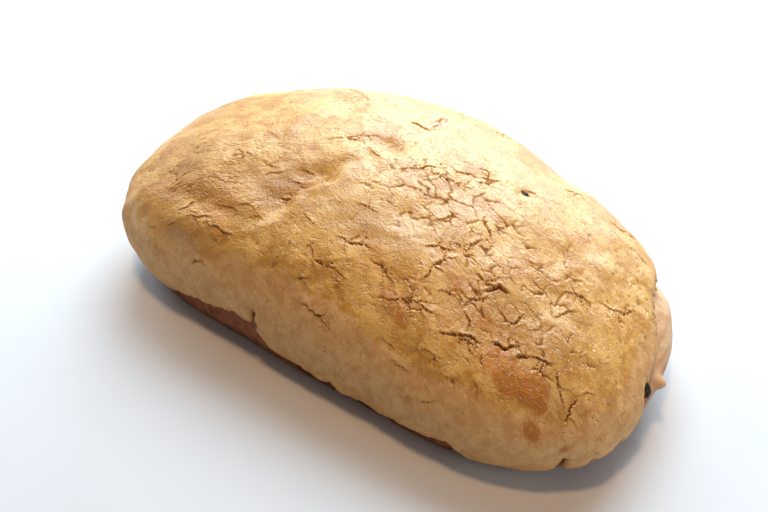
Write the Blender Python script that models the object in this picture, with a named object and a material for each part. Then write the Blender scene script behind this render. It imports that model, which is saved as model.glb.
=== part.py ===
"""An oblong sweet loaf, baked under a thin sheet of biscuit dough that cracked as the loaf rose.

The biscuit crust is thought of as it is made: a flat oval of dough, laid over the loaf. Places on
it are given on that flat sheet, along the loaf and across it from the crown, and drape() carries
them onto the loaf. The crust's ragged hem stops short of the table, so the bread shows below it
and at the right end, and two raisins show: one in the crust, one in the bare end.
Units are metres, +Z is up, +X runs along the loaf, and the loaf rests on z = 0.
"""

import math
import random

import bmesh
import bpy
import numpy as np
from mathutils import Vector, kdtree, noise

MM = 0.001

# The loaf's outer skin: a dome over a side that tucks in below its widest line
HALF_LENGTH = 130 * MM
HALF_WIDTH = 83 * MM
HEIGHT = 73.5 * MM
WIDEST_AT = 26 * MM
PLAN_ROUNDNESS = 2.29
DOME_SHOULDER = 1.76
DOME_CROWN = 2.12
TUCK_UNDER = 0.08
TUCK_SHARES = (0.02, 0.04)
BEND = -23 * MM
BEND_REST = 0.4
LOW_END_DROP = 0.177
DOME_STEPS = 400
SIDE_STEPS = 60
SWELL_SPREAD = 18
PLAN_SWELLS = (
    # bearing on the sheet in degrees, how much the plan swells there in percent
    (-170, 1.0),
    (-140, 2.4),
    (-110, -5.6),
    (-80, -2.8),
    (-50, 0.6),
    (10, -1.4),
    (40, 1.7),
    (70, -7.9),
    (100, 4.6),
    (130, 1.5),
    (160, 3.6),
)

# The biscuit crust and its gap to the bread
CRUST = 3.2 * MM
HEM_THICKNESS = 1.9 * MM
HEM_ROUNDING = 3.0 * MM
GAP = 0.75 * MM
CRACK_DEPTH = 1.9 * MM

# Large forms pressed into loaf and crust together: along, across, reach along, reach across,
# turn in degrees, height, in millimetres on the sheet
FORMS = (
    (-13, 4, 8, 5, 0, -3.2),
    (-15, -8, 3, 5, 20, -1.6),
    (-90, -46, 8, 16, 20, -2.2),
    (-76, -34, 9, 16, 25, 1.6),
    (-62, -62, 20, 5, -15, -1.3),
    (-66, -76, 16, 8, -20, 1.2),
    (-117, -60, 7, 7, 0, 1.9),
    (-108, -36, 9, 12, 0, -1.7),
    (43, 62, 12, 16, 0, -2.6),
    (86, 22, 7, 5, 30, 1.3),
    (20, -50, 30, 14, 20, 0.8),
    (60, 20, 24, 14, 35, 0.9),
)
# The fold where the right-hand part of the loaf stands over the left: a line across the sheet
FOLD_FROM = (-20, -22)
FOLD_TO = (-33, -56)
FOLD_RISE = 4.2
FOLD_RUN = 24
FOLD_STEP = (-2.5, 3.5)
FOLD_STARTS = (-0.35, 0.25)
FOLD_ENDS = (0.85, 1.5)
UNEVEN_HEIGHT = 0.9 * MM
UNEVEN_SIZE = 26 * MM

# The hem's height above the table: bearing on the sheet in degrees, height in millimetres
HEM = (
    (-180, 7),
    (-160, 5),
    (-145, 7),
    (-138, 9),
    (-133, 7),
    (-129, 9),
    (-122, 13),
    (-117, 15),
    (-109, 20),
    (-104.5, 19),
    (-103.6, 28),
    (-102.6, 29),
    (-102.2, 17),
    (-100, 9),
    (-92, 8),
    (-86, 6),
    (-84.6, 12),
    (-83.4, 4),
    (-75, 4),
    (-68, 5),
    (-62, 9),
    (-58.5, 14),
    (-56, 9),
    (-53.5, 3),
    (-36, 2.5),
    (-32, 4),
    (-20, 3),
    (-7, 5),
    (-3, 18),
    (0, 33),
    (6, 35),
    (13, 38),
    (17, 42),
    (26, 45),
    (35, 42),
    (46, 30),
    (54, 10),
    (62, 4),
    (90, 6),
    (120, 4),
    (150, 8),
)
HEM_TEETH = 1.6 * MM
TEETH_PER_DEGREE = (0.55, 1.7)
HEM_LOWEST = 1.8 * MM
# The share of the way down the loaf from which the sheet's points are drawn in to the hem
SQUEEZE_FROM = 0.42

# How far the bread swells out where no crust covers it, most at the open right end, and the
# bearings between which that end lies
SIDE_BULGE = 2.7 * MM
END_BULGE = 4.2 * MM
END_FROM, END_TO = -2, 50
END_FADE = 13
END_TUCK_SHARE = 0.8
BULGE_START, BULGE_RUN = 2.4 * MM, 8 * MM
NUB = (142, 17)
NUB_REACH = 4.0 * MM
NUB_HEIGHT = 3.4 * MM

# Main cracks on the sheet: along, across, heading in degrees, length, width, in millimetres
CRACKS = (
    (-3, -56, 8, 15, 1.5),
    (-11, -66, -10, 22, 1.3),
    (15, -57, -13, 13, 1.1),
    (-11, -82, 9, 6, 1.1),
    (-5, -89, 6, 18, 1.1),
    (28, -68, 18, 20, 1.3),
    (53, -65, 30, 16, 1.7),
    (71, -52, 32, 9, 1.9),
    (81, -50, 45, 7, 1.4),
    (86, -43, 23, 8, 1.5),
    (96, -39, -45, 13, 1.3),
    (110, -40, -81, 12, 1.3),
    (95, 6, 43, 19, 1.3),
    (82, -6, 45, 11, 1.1),
    (83, -21, 63, 13, 1.1),
    (72, -41, 58, 9, 1.2),
    (54, -48, 68, 11, 1.2),
    (57, -37, 34, 11, 2.2),
    (51, -33, 0, 8, 1.3),
    (35, -54, 88, 22, 1.3),
    (29, -37, 48, 12, 1.2),
    (43, -26, 76, 8, 1.2),
    (39, -6, -56, 11, 1.3),
    (-17, 30, 0, 9, 1.8),
    (-8, 30, 93, 20, 1.2),
    (27, 11, 41, 10, 1.3),
    (-1, -8, 49, 20, 1.0),
    (9, -4, 39, 20, 1.0),
    (-61, -71, -34, 14, 1.3),
    (-37, -6, 9, 18, 1.0),
)
FAR_SIDE_CRACKS = 16
FAR_SIDE_ALONG = (-110, 80)
FAR_SIDE_ACROSS = (45, 90)
CRACK_STEP = 1.0
CRACK_WANDER = 18
CRACK_SLOPE = 0.75

# The raisins: place on the sheet, half sizes, how far the middle lies over the skin, turn
RAISIN_IN_CRUST = (43, 24)
CRUST_RAISIN_SIZE = (3.1 * MM, 2.0 * MM, 1.25 * MM)
CRUST_RAISIN_LIFT = -0.9 * MM
CRUST_RAISIN_TURN = 35
RAISIN_IN_END = (137, 4)
END_RAISIN_SIZE = (4.2 * MM, 3.0 * MM, 2.6 * MM)
END_RAISIN_LIFT = -2.4 * MM
END_RAISIN_TURN = 80
RAISIN_WRINKLE = 0.12
RAISIN_CLEARANCE = 0.35 * MM

# Lengths of the triangles' edges, short only where the form turns sharply
CRUST_CELLS = 16
BREAD_CELLS = 14
LONGEST_EDGE = 1.4
BODY_EDGE = 11.5 * MM
TOP_EDGE = 8.0 * MM
FOLD_EDGE = 3.0 * MM
NEAR_HEM_EDGE = 2.6 * MM
FAR_HEM_EDGE = 5.0 * MM
CRACK_EDGE = 1.6 * MM
SIDE_EDGE = 3.2 * MM
SHARP_ANGLE = 50
SEED = 7


def smooth_step(value, low, high):
    part = np.clip((value - low) / (high - low), 0, 1)
    return part * part * (3 - 2 * part)


def skin_profile():
    """How far out and how high the skin is from crown to table, and the share of the way there."""
    turn = np.linspace(0, math.pi / 2, DOME_STEPS)
    tucked = np.linspace(1, 0, SIDE_STEPS)[1:]
    out = np.concatenate([np.sin(turn) ** (2 / DOME_SHOULDER), 1 - TUCK_UNDER * (1 - tucked) ** 2])
    dome = WIDEST_AT + (HEIGHT - WIDEST_AT) * np.cos(turn) ** (2 / DOME_CROWN)
    return out, np.concatenate([dome, WIDEST_AT * tucked])


PROFILE_OUT, PROFILE_UP = skin_profile()


def length_down(radius):
    """The length of the skin from crown to each profile point, on a loaf of this radius."""
    steps = np.hypot(np.diff(PROFILE_OUT) * radius, np.diff(PROFILE_UP))
    return np.concatenate([[0], np.cumsum(steps)])


SHEET_LENGTH = length_down(HALF_LENGTH)[-1]
SHEET_WIDTH = length_down(HALF_WIDTH)[-1]
MEAN_LENGTH = length_down((HALF_LENGTH + HALF_WIDTH) / 2)
PROFILE_SHARE = MEAN_LENGTH / MEAN_LENGTH[-1]
WIDEST_SHARE = PROFILE_SHARE[DOME_STEPS - 1]


def oval_size(along, across):
    """The size of the oval that a point lies on, where the unit oval's is 1."""
    return (np.abs(along) ** PLAN_ROUNDNESS + np.abs(across) ** PLAN_ROUNDNESS) ** (1 / PLAN_ROUNDNESS)


def share_of(along, across):
    """How far a place on the sheet is from crown to table, from 0 to 1."""
    return oval_size(along / SHEET_LENGTH, across / SHEET_WIDTH)


def bearing_of(along, across):
    return np.degrees(np.arctan2(across / SHEET_WIDTH, along / SHEET_LENGTH))


def turn_between(bearing, other):
    return (bearing - other + 180) % 360 - 180


def skin(along, across):
    """The plain skin's point for each place on the sheet."""
    share = share_of(along, across)
    out = np.interp(share, PROFILE_SHARE, PROFILE_OUT)
    up = np.interp(share, PROFILE_SHARE, PROFILE_UP)
    bearing = bearing_of(along, across)
    swell = np.ones_like(share)
    for at, percent in PLAN_SWELLS:
        swell += percent / 100 * np.exp(-((turn_between(bearing, at) / SWELL_SPREAD) ** 2)) * out**2
    spread = swell * out / np.maximum(share, 1e-6)
    x = HALF_LENGTH * along / SHEET_LENGTH * spread
    y = HALF_WIDTH * across / SHEET_WIDTH * spread
    y += BEND * ((x / HALF_LENGTH) ** 2 - BEND_REST)
    return np.stack([x, y, up * (1 - LOW_END_DROP * x / HALF_LENGTH)], axis=-1)


def outward(along, across):
    """The direction out of the skin, level below its widest line so that the base stays flat."""
    reach = 0.5 * MM
    run = skin(along + reach, across) - skin(along - reach, across)
    rise = skin(along, across + reach) - skin(along, across - reach)
    normal = np.cross(run, rise)
    past_widest = share_of(along, across) - WIDEST_SHARE
    normal[..., 2] *= 1 - smooth_step(past_widest, -TUCK_SHARES[0], TUCK_SHARES[1])
    return normal / np.linalg.norm(normal, axis=-1, keepdims=True)


def form_height(along, across):
    """The height of the lumps, hollows and the fold over the plain skin."""
    height = np.zeros_like(along)
    for at_along, at_across, reach_along, reach_across, turn, rise in FORMS:
        angle = math.radians(turn)
        du, dv = along / MM - at_along, across / MM - at_across
        lengthwise = (du * math.cos(angle) + dv * math.sin(angle)) / reach_along
        sideways = (dv * math.cos(angle) - du * math.sin(angle)) / reach_across
        height += rise * MM * np.exp(-(lengthwise**2 + sideways**2))
    fold = Vector(FOLD_TO) - Vector(FOLD_FROM)
    du, dv = along / MM - FOLD_FROM[0], across / MM - FOLD_FROM[1]
    down_fold = (du * fold.x + dv * fold.y) / fold.length_squared
    left_of_fold = (du * fold.y - dv * fold.x) / fold.length
    ends = smooth_step(down_fold, *FOLD_STARTS) * (1 - smooth_step(down_fold, *FOLD_ENDS))
    sunk = smooth_step(left_of_fold, *FOLD_STEP) * np.exp(-np.maximum(left_of_fold, 0) / FOLD_RUN)
    height -= FOLD_RISE * MM * ends * sunk
    waves = [noise.noise(Vector((a, b, 3.7))) for a, b in zip(along / UNEVEN_SIZE, across / UNEVEN_SIZE)]
    fade = 1 - smooth_step(share_of(along, across), 0.9, 1.0)
    return height + UNEVEN_HEIGHT * np.array(waves) * fade


def drape(along, across, lift):
    """The place on the loaf of a point that lies this far over the skin."""
    height = form_height(along, across) + lift
    return skin(along, across) + outward(along, across) * height[..., None]


def hem_share(bearing):
    """How far down the loaf the crust's ragged edge lies at each bearing."""
    turns, heights = np.transpose(HEM)
    height = np.interp(bearing, turns, heights, period=360) * MM
    broad, fine = TEETH_PER_DEGREE
    teeth = np.array([noise.noise(Vector((turn * broad, 0.3, 1.7))) for turn in bearing])
    teeth += [0.5 * noise.noise(Vector((turn * fine, 4.1, 0.9))) for turn in bearing]
    height = np.maximum(height + HEM_TEETH * teeth, HEM_LOWEST)
    return np.interp(-height, -PROFILE_UP, PROFILE_SHARE)


def hem_line():
    """Points all along the crust's edge on the sheet."""
    bearing = np.arange(-180, 180, 0.25)
    turn = np.radians(bearing)
    scale = hem_share(bearing) / oval_size(np.cos(turn), np.sin(turn))
    return np.cos(turn) * SHEET_LENGTH * scale, np.sin(turn) * SHEET_WIDTH * scale


def lay_out(oval, hem=None):
    """Carries points of the unit oval to the sheet, drawn in so that its rim becomes the hem."""
    share = oval_size(oval[:, 0], oval[:, 1])
    drawn = share
    if hem is not None:
        edge = hem(np.degrees(np.arctan2(oval[:, 1], oval[:, 0])))
        part = np.maximum(share - SQUEEZE_FROM, 0) / (1 - SQUEEZE_FROM)
        drawn = np.minimum(share, SQUEEZE_FROM) + part * (edge - SQUEEZE_FROM)
    scale = drawn / np.maximum(share, 1e-9)
    return oval[:, 0] * scale * SHEET_LENGTH, oval[:, 1] * scale * SHEET_WIDTH


def crack_path(along, across, heading, length, width, rng):
    """Points down one crack that wanders about its heading, each with the crack's width there."""
    steps = max(4, round(length / CRACK_STEP))
    path, drift = [], 0.0
    for step in range(steps + 1):
        taper = math.sin(math.pi * (step + 0.5) / (steps + 1)) ** 0.4
        path.append((along, across, width * taper))
        drift = 0.6 * drift + rng.gauss(0, CRACK_WANDER)
        turn = math.radians(heading + drift)
        along += CRACK_STEP * math.cos(turn)
        across += CRACK_STEP * math.sin(turn)
    return path


def all_crack_points():
    """Every main crack: those that show, placed one by one, and others strewn over the far side."""
    rng = random.Random(SEED)
    points = []
    for crack in CRACKS:
        points += crack_path(*crack, rng)
    for _ in range(FAR_SIDE_CRACKS):
        along = rng.uniform(*FAR_SIDE_ALONG)
        across = rng.uniform(*FAR_SIDE_ACROSS)
        heading = rng.gauss(0, 22)
        points += crack_path(along, across, heading, rng.uniform(8, 18), rng.uniform(1.0, 1.4), rng)
    return points


class SheetMap:
    """Tells how far each place on the sheet is from the nearest of a set of points, and which it is."""

    def __init__(self, along, across):
        self.tree = kdtree.KDTree(len(along))
        for index, (a, b) in enumerate(zip(along, across)):
            self.tree.insert((a, b, 0), index)
        self.tree.balance()

    def nearest(self, along, across):
        found = [self.tree.find((a, b, 0)) for a, b in zip(along, across)]
        return np.array([item[2] for item in found]), [item[1] for item in found]


CRACK_ALONG, CRACK_ACROSS, CRACK_WIDTH = np.transpose(all_crack_points()) * MM
CRACK_MAP = SheetMap(CRACK_ALONG, CRACK_ACROSS)
HEM_MAP = SheetMap(*hem_line())


def from_crack(along, across):
    distance, index = CRACK_MAP.nearest(along, across)
    return distance, CRACK_WIDTH[index]


def past_hem(along, across):
    """How far a place lies outside the crust's edge, less than zero under the crust."""
    distance, _ = HEM_MAP.nearest(along, across)
    outside = share_of(along, across) > hem_share(bearing_of(along, across))
    return np.where(outside, distance, -distance)


def from_fold(along, across):
    """How far a place lies from the line of the fold."""
    start, end = np.array(FOLD_FROM) * MM, np.array(FOLD_TO) * MM
    line = end - start
    part = ((along - start[0]) * line[0] + (across - start[1]) * line[1]) / (line @ line)
    part = np.clip(part, 0, 1)
    return np.hypot(along - start[0] - part * line[0], across - start[1] - part * line[1])


def wanted_body(along, across, longest=BODY_EDGE):
    """Edge lengths for the body of the loaf, short where it folds."""
    return np.clip(FOLD_EDGE + 0.6 * (from_fold(along, across) - 4 * MM), FOLD_EDGE, longest)


def oval_mesh(cells):
    """A unit oval of triangles, laid out in rings round its middle."""
    bm = bmesh.new()
    ticks = np.linspace(-1, 1, 2 * cells + 1)
    grid = []
    for across in ticks:
        row = []
        for along in ticks:
            scale = max(abs(along), abs(across)) / max(oval_size(along, across), 1e-9)
            row.append(bm.verts.new((along * scale, across * scale, 0)))
        grid.append(row)
    for j in range(2 * cells):
        for i in range(2 * cells):
            a, b, c, d = grid[j][i], grid[j][i + 1], grid[j + 1][i + 1], grid[j + 1][i]
            if (i < cells) == (j < cells):
                bm.faces.new((a, b, c))
                bm.faces.new((a, c, d))
            else:
                bm.faces.new((a, b, d))
                bm.faces.new((b, c, d))
    return bm


def refine(bm, hem, wanted, only_rim=False, rounds=7):
    """Halves edges that are longer on the loaf than wanted, and keeps every face a triangle."""
    for _ in range(rounds):
        bm.verts.index_update()
        oval = np.array([vert.co[:2] for vert in bm.verts])
        along, across = lay_out(oval, hem)
        places = skin(along, across)
        pairs = np.array([[vert.index for vert in edge.verts] for edge in bm.edges])
        rim = np.array([edge.is_boundary for edge in bm.edges])
        lengths = np.linalg.norm(places[pairs[:, 0]] - places[pairs[:, 1]], axis=1)
        limits = wanted(along[pairs].mean(axis=1), across[pairs].mean(axis=1))
        split = (lengths > LONGEST_EDGE * limits) & (rim == only_rim)
        if not split.any():
            return
        chosen = [edge for edge, flag in zip(bm.edges, split) if flag]
        bmesh.ops.subdivide_edges(bm, edges=chosen, cuts=1)
        bmesh.ops.triangulate(bm, faces=[face for face in bm.faces if len(face.verts) > 3])
        if only_rim:
            for vert in bm.verts:
                if vert.is_boundary:
                    vert.co /= oval_size(vert.co.x, vert.co.y)


def sheet_faces(bm):
    """The sheet's points on the unit oval, its triangles, and the rim's edges in their face's order."""
    bm.verts.index_update()
    oval = np.array([vert.co[:2] for vert in bm.verts])
    faces = [[vert.index for vert in face.verts] for face in bm.faces]
    rim = [
        (loop.vert.index, loop.link_loop_next.vert.index)
        for face in bm.faces
        for loop in face.loops
        if loop.edge.is_boundary
    ]
    return oval, faces, rim


def make_object(name, points, faces, material):
    mesh = bpy.data.meshes.new(name)
    mesh.from_pydata([tuple(point) for point in points], [], faces)
    mesh.shade_smooth()
    mesh.set_sharp_from_angle(angle=math.radians(SHARP_ANGLE))
    mesh.materials.append(material)
    item = bpy.data.objects.new(name, mesh)
    bpy.context.scene.collection.objects.link(item)
    return item


def baked_finish(name, colour, roughness):
    material = bpy.data.materials.new(name)
    material.use_nodes = True
    surface = material.node_tree.nodes["Principled BSDF"]
    surface.inputs["Base Color"].default_value = (*colour, 1)
    surface.inputs["Roughness"].default_value = roughness
    surface.inputs["Metallic"].default_value = 0
    return material


def crust_lift(along, across):
    """How far the crust's top lies over the skin: sunk at the cracks, rounded over at the hem."""
    distance, width = from_crack(along, across)
    groove = -CRACK_DEPTH * np.exp(-((distance / (CRACK_SLOPE * width)) ** 2))
    rounded = -(CRUST - HEM_THICKNESS) * smooth_step(past_hem(along, across), -HEM_ROUNDING, 0)
    return groove + rounded


def make_crust():
    def wanted_top(along, across):
        distance, width = from_crack(along, across)
        near = np.maximum(CRACK_EDGE, CRACK_EDGE + 1.1 * (distance - 0.8 * width))
        return np.minimum(near, wanted_body(along, across, TOP_EDGE))

    def wanted_under(along, across):
        at_end = turn_between(bearing_of(along, across), END_FROM) > -20
        near = np.where(at_end, SIDE_EDGE - 0.5 * past_hem(along, across), BODY_EDGE)
        return np.minimum(near, wanted_body(along, across))

    def wanted_rim(along, across):
        return np.where(bearing_of(along, across) > END_TO + 10, FAR_HEM_EDGE, NEAR_HEM_EDGE)

    top = oval_mesh(CRUST_CELLS)
    refine(top, hem_share, wanted_rim, only_rim=True)
    under = top.copy()
    refine(top, hem_share, wanted_top)
    refine(under, hem_share, wanted_under)
    top_oval, top_faces, rim = sheet_faces(top)
    under_oval, under_faces, _ = sheet_faces(under)
    along, across = lay_out(top_oval, hem_share)
    upper = drape(along, across, crust_lift(along, across))
    along, across = lay_out(under_oval, hem_share)
    lower = drape(along, across, np.full_like(along, -CRUST))
    count = len(upper)
    partner = {tuple(np.round(point, 6)): index + count for index, point in enumerate(under_oval)}
    faces = top_faces + [[index + count for index in reversed(face)] for face in under_faces]
    for first, second in rim:
        below_first = partner[tuple(np.round(top_oval[first], 6))]
        below_second = partner[tuple(np.round(top_oval[second], 6))]
        faces += [(second, first, below_first), (second, below_first, below_second)]
    finish = baked_finish("baked_biscuit", (0.62, 0.38, 0.16), 0.55)
    return make_object("biscuit_crust", np.concatenate([upper, lower]), faces, finish)


def bread_lift(along, across):
    """How far the bread lies under the skin: below the crust everywhere, and out at its bare end."""
    share, bearing = share_of(along, across), bearing_of(along, across)
    in_end = smooth_step(bearing, END_FROM, END_FROM + END_FADE)
    in_end *= 1 - smooth_step(bearing, END_TO - END_FADE, END_TO)
    in_end *= 1 - smooth_step(share, END_TUCK_SHARE, 1)
    bulge = SIDE_BULGE + (END_BULGE - SIDE_BULGE) * in_end
    bulge *= smooth_step(past_hem(along, across), BULGE_START, BULGE_RUN)
    nub = np.hypot(along - NUB[0] * MM, across - NUB[1] * MM) / NUB_REACH
    return bulge + NUB_HEIGHT * np.exp(-(nub**2)) - CRUST - GAP


def make_bread():
    def wanted(along, across):
        near = SIDE_EDGE + 0.8 * np.abs(past_hem(along, across) - BULGE_RUN / 2)
        return np.minimum(near, wanted_body(along, across))

    loaf = oval_mesh(BREAD_CELLS)
    refine(loaf, None, wanted)
    oval, faces, rim = sheet_faces(loaf)
    along, across = lay_out(oval)
    following = {second: first for first, second in rim}
    base = [rim[0][0]]
    while following[base[-1]] != base[0]:
        base.append(following[base[-1]])
    finish = baked_finish("bread_side", (0.28, 0.11, 0.05), 0.7)
    item = make_object("bread", drape(along, across, bread_lift(along, across)), faces + [base], finish)
    bm = bmesh.new()
    bm.from_mesh(item.data)
    bmesh.ops.triangulate(bm, faces=[face for face in bm.faces if len(face.verts) > 3])
    bm.to_mesh(item.data)
    return item


def raisin_mesh(name, size, grown, material):
    """A wrinkled raisin round the origin; grown makes it this much larger all round."""
    bm = bmesh.new()
    bmesh.ops.create_icosphere(bm, subdivisions=2, radius=1)
    for vert in bm.verts:
        ridge = 1 + RAISIN_WRINKLE * noise.noise(vert.co * 2.3 + Vector((size[0] / MM, 0, 0)))
        grow = Vector([half * ridge + grown for half in size])
        vert.co = Vector((vert.co.x * grow.x, vert.co.y * grow.y, vert.co.z * grow.z))
    mesh = bpy.data.meshes.new(name)
    bm.to_mesh(mesh)
    mesh.shade_smooth()
    mesh.materials.append(material)
    item = bpy.data.objects.new(name, mesh)
    bpy.context.scene.collection.objects.link(item)
    return item


def seat_raisin(name, place, size, lift, heading, hosts, material):
    """Sets a raisin flat side out, with a pocket cut round it in what holds it."""
    along, across = np.array([place[0] * MM]), np.array([place[1] * MM])
    centre = Vector(drape(along, across, np.array([lift]))[0])
    facing = Vector(outward(along, across)[0]).to_track_quat("Z", "Y").to_euler()
    raisin = raisin_mesh(name, size, 0, material)
    cutter = raisin_mesh(f"{name}_pocket", size, RAISIN_CLEARANCE, material)
    for item in (raisin, cutter):
        item.location = centre
        item.rotation_euler = facing
        item.rotation_euler.rotate_axis("Z", math.radians(heading))
    cutter.hide_render = True
    cutter.display_type = "WIRE"
    for host in hosts:
        pocket = host.modifiers.new(cutter.name, "BOOLEAN")
        pocket.operation = "DIFFERENCE"
        pocket.object = cutter
    return raisin, cutter


def centre_on_base(items):
    """Moves everything so that the middle of the whole loaf's base is the origin."""
    bpy.context.view_layer.update()
    corners = [item.matrix_world @ Vector(corner) for item in items for corner in item.bound_box]
    middle = Vector([(min(c[i] for c in corners) + max(c[i] for c in corners)) / 2 for i in range(2)])
    for item in items:
        item.location -= Vector((middle.x, middle.y, 0))


def main():
    for item in list(bpy.data.objects):
        bpy.data.objects.remove(item)
    bread = make_bread()
    crust = make_crust()
    raisin_skin = baked_finish("raisin_skin", (0.02, 0.008, 0.006), 0.35)
    top_raisin = seat_raisin(
        "raisin_top",
        RAISIN_IN_CRUST,
        CRUST_RAISIN_SIZE,
        CRUST_RAISIN_LIFT,
        CRUST_RAISIN_TURN,
        [crust],
        raisin_skin,
    )
    end_raisin = seat_raisin(
        "raisin_end",
        RAISIN_IN_END,
        END_RAISIN_SIZE,
        END_RAISIN_LIFT,
        END_RAISIN_TURN,
        [bread, crust],
        raisin_skin,
    )
    centre_on_base([bread, crust, *top_raisin, *end_raisin])


main()
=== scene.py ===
# %% [markdown]
# Mocha bread, dressed for its portrait
#
# This lesson dresses a plain model of a mocha bread: a long soft loaf that was wrapped in a thin
# sheet of biscuit dough before it went into the oven. The loaf rises, the biscuit bakes hard and
# can't follow, and so it cracks all over. The plain model is loaded first. It says how large the
# loaf is and where each piece lies, and what we make here keeps to it within two millimetres.

import math
import random

import bmesh
import bpy
import numpy as np
from mathutils import Matrix, Vector, kdtree, noise


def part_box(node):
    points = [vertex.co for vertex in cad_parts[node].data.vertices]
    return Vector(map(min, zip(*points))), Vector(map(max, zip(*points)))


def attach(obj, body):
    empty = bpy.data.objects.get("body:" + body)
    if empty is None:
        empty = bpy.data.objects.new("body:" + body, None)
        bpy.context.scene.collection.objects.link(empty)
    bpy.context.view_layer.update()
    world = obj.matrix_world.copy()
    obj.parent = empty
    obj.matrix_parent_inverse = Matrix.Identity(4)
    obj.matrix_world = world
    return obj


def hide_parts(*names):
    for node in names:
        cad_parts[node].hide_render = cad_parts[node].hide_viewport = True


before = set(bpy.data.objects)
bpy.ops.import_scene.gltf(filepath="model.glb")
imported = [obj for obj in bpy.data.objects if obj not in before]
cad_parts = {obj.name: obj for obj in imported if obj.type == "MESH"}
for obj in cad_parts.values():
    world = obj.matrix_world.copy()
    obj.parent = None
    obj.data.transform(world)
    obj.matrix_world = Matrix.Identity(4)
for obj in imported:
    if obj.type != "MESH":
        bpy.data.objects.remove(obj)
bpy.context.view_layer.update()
crust_low, crust_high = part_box("biscuit_crust")
print("crust of the plain model, mm:", [round(v * 1000, 1) for v in crust_high - crust_low])

# %% [markdown]
# The shape of the loaf
#
# A loaf could be sculpted by hand, but then the crust, its cracks and the colours would each need
# their own guess at where things are. A baker thinks of the biscuit dough as a flat oval sheet,
# and so do we. Every place is written as millimetres along and across that sheet, measured from
# the crown of the loaf, and one function lays the sheet over the loaf. A crack, a patch of egg
# wash and a raisin then all share one simple map.
#
# The first step is the profile: how far out and how high the skin runs, from the crown over the
# dome and down the side to the table.

# %% The loaf's profile
HALF_LENGTH = 130
HALF_WIDTH = 83
HEIGHT = 73.5
WIDEST_AT = 26
PLAN_ROUNDNESS = 2.29
DOME_SHOULDER = 1.76
DOME_CROWN = 2.12
TUCK_UNDER = 0.08
DOME_STEPS = 400
SIDE_STEPS = 60


def smooth_step(value, low, high):
    part = np.clip((value - low) / (high - low), 0, 1)
    return part * part * (3 - 2 * part)


def skin_profile():
    turn = np.linspace(0, math.pi / 2, DOME_STEPS)
    tucked = np.linspace(1, 0, SIDE_STEPS)[1:]
    out = np.concatenate([np.sin(turn) ** (2 / DOME_SHOULDER), 1 - TUCK_UNDER * (1 - tucked) ** 2])
    dome = WIDEST_AT + (HEIGHT - WIDEST_AT) * np.cos(turn) ** (2 / DOME_CROWN)
    return out, np.concatenate([dome, WIDEST_AT * tucked])


PROFILE_OUT, PROFILE_UP = skin_profile()


def length_down(radius):
    steps = np.hypot(np.diff(PROFILE_OUT) * radius, np.diff(PROFILE_UP))
    return np.concatenate([[0], np.cumsum(steps)])


SHEET_LENGTH = length_down(HALF_LENGTH)[-1]
SHEET_WIDTH = length_down(HALF_WIDTH)[-1]
MEAN_LENGTH = length_down((HALF_LENGTH + HALF_WIDTH) / 2)
PROFILE_SHARE = MEAN_LENGTH / MEAN_LENGTH[-1]
WIDEST_SHARE = PROFILE_SHARE[DOME_STEPS - 1]
print(f"the sheet reaches {SHEET_LENGTH:.0f} mm along and {SHEET_WIDTH:.0f} mm across from the crown")

# %% [markdown]
# From the sheet to the loaf
#
# A real loaf is never a true oval. Hands rolled it, and it slumped and swelled on the tray. So the
# oval plan swells and shrinks a little at some bearings, the loaf bends like a bean, and its right
# end is lower than its left.

# %% Lay the sheet over the loaf
BEND = -23
BEND_REST = 0.4
LOW_END_DROP = 0.177
TUCK_SHARES = (0.02, 0.04)
SWELL_SPREAD = 18
PLAN_SWELLS = (
    # bearing on the sheet in degrees, how much the plan swells there in percent
    (-170, 1.0), (-140, 2.4), (-110, -5.6), (-80, -2.8), (-50, 0.6), (10, -1.4), (40, 1.7),
    (70, -7.9), (100, 4.6), (130, 1.5), (160, 3.6),
)


def oval_size(along, across):
    return (np.abs(along) ** PLAN_ROUNDNESS + np.abs(across) ** PLAN_ROUNDNESS) ** (1 / PLAN_ROUNDNESS)


def share_of(along, across):
    """How far a place is from crown to table, from 0 to 1."""
    return oval_size(along / SHEET_LENGTH, across / SHEET_WIDTH)


def bearing_of(along, across):
    return np.degrees(np.arctan2(across / SHEET_WIDTH, along / SHEET_LENGTH))


def turn_between(bearing, other):
    return (bearing - other + 180) % 360 - 180


def skin(along, across):
    share = share_of(along, across)
    out = np.interp(share, PROFILE_SHARE, PROFILE_OUT)
    up = np.interp(share, PROFILE_SHARE, PROFILE_UP)
    bearing = bearing_of(along, across)
    swell = np.ones_like(share)
    for at, percent in PLAN_SWELLS:
        swell += percent / 100 * np.exp(-((turn_between(bearing, at) / SWELL_SPREAD) ** 2)) * out**2
    spread = swell * out / np.maximum(share, 1e-6)
    x = HALF_LENGTH * along / SHEET_LENGTH * spread
    y = HALF_WIDTH * across / SHEET_WIDTH * spread
    y += BEND * ((x / HALF_LENGTH) ** 2 - BEND_REST)
    return np.stack([x, y, up * (1 - LOW_END_DROP * x / HALF_LENGTH)], axis=-1)


def outward(along, across):
    """The direction out of the skin, level below its widest line so that the base stays flat."""
    reach = 0.5
    run = skin(along + reach, across) - skin(along - reach, across)
    rise = skin(along, across + reach) - skin(along, across - reach)
    normal = np.cross(run, rise)
    past_widest = share_of(along, across) - WIDEST_SHARE
    normal[..., 2] *= 1 - smooth_step(past_widest, -TUCK_SHARES[0], TUCK_SHARES[1])
    return normal / np.linalg.norm(normal, axis=-1, keepdims=True)


# %% [markdown]
# Lumps, hollows and the fold
#
# These are the forms that a baker's thumb would feel. There is a dimple near the crown, a long
# hollow on the left lobe, and a fold where the right-hand part of the loaf stands over the left.
# Each lump is a smooth bell on the sheet, so that its size and place can be read and changed. The
# fold is a soft step along a line. Gentle noise keeps the rest from looking machined.

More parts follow.
